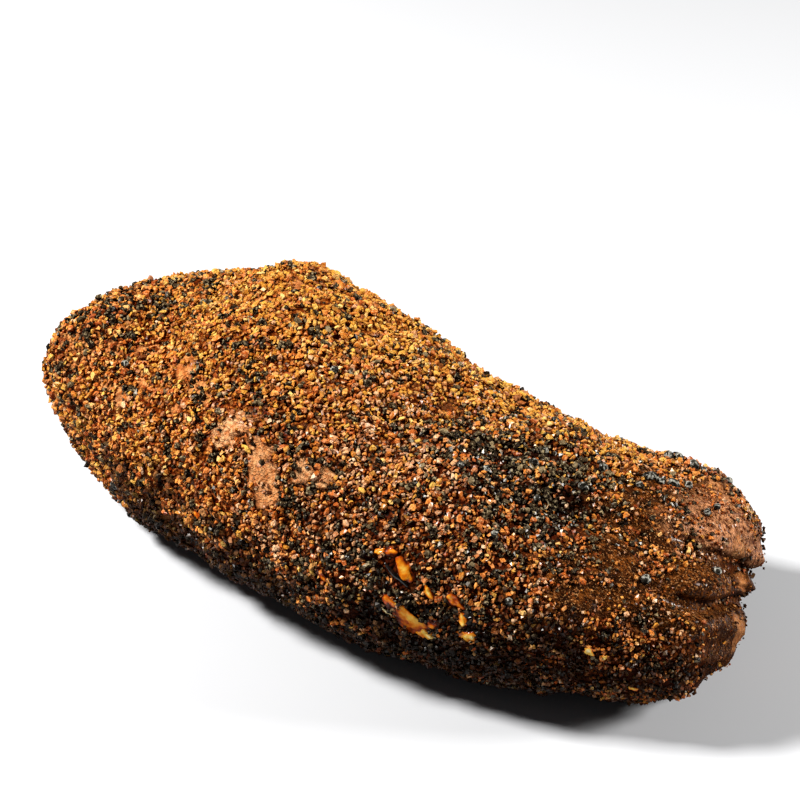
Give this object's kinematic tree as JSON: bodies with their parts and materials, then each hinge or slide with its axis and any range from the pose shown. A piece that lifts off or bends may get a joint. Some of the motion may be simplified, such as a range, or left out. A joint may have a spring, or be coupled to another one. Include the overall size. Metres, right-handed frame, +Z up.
{
  "type": "peppered roast beef",
  "caption": "Whole roast of beef with a cracked pepper crust, thick at one end and parted into lobes at the other, lying on its flat underside.",
  "frame": {"origin": "middle of the bounding box, at the height of the flat underside", "axes": "+X along the length towards the thin end with its three lobes, +Y across to the straighter long side, +Z up"},
  "size_m": [0.3918, 0.1894, 0.1357],
  "materials": {
    "peppered_crust": "rough roasted crust of cracked black, golden and brown pepper grains over dark brown, slightly glossy meat"
  },
  "bodies": {
    "root": {"roast": "peppered_crust"}
  },
  "joints": []
}
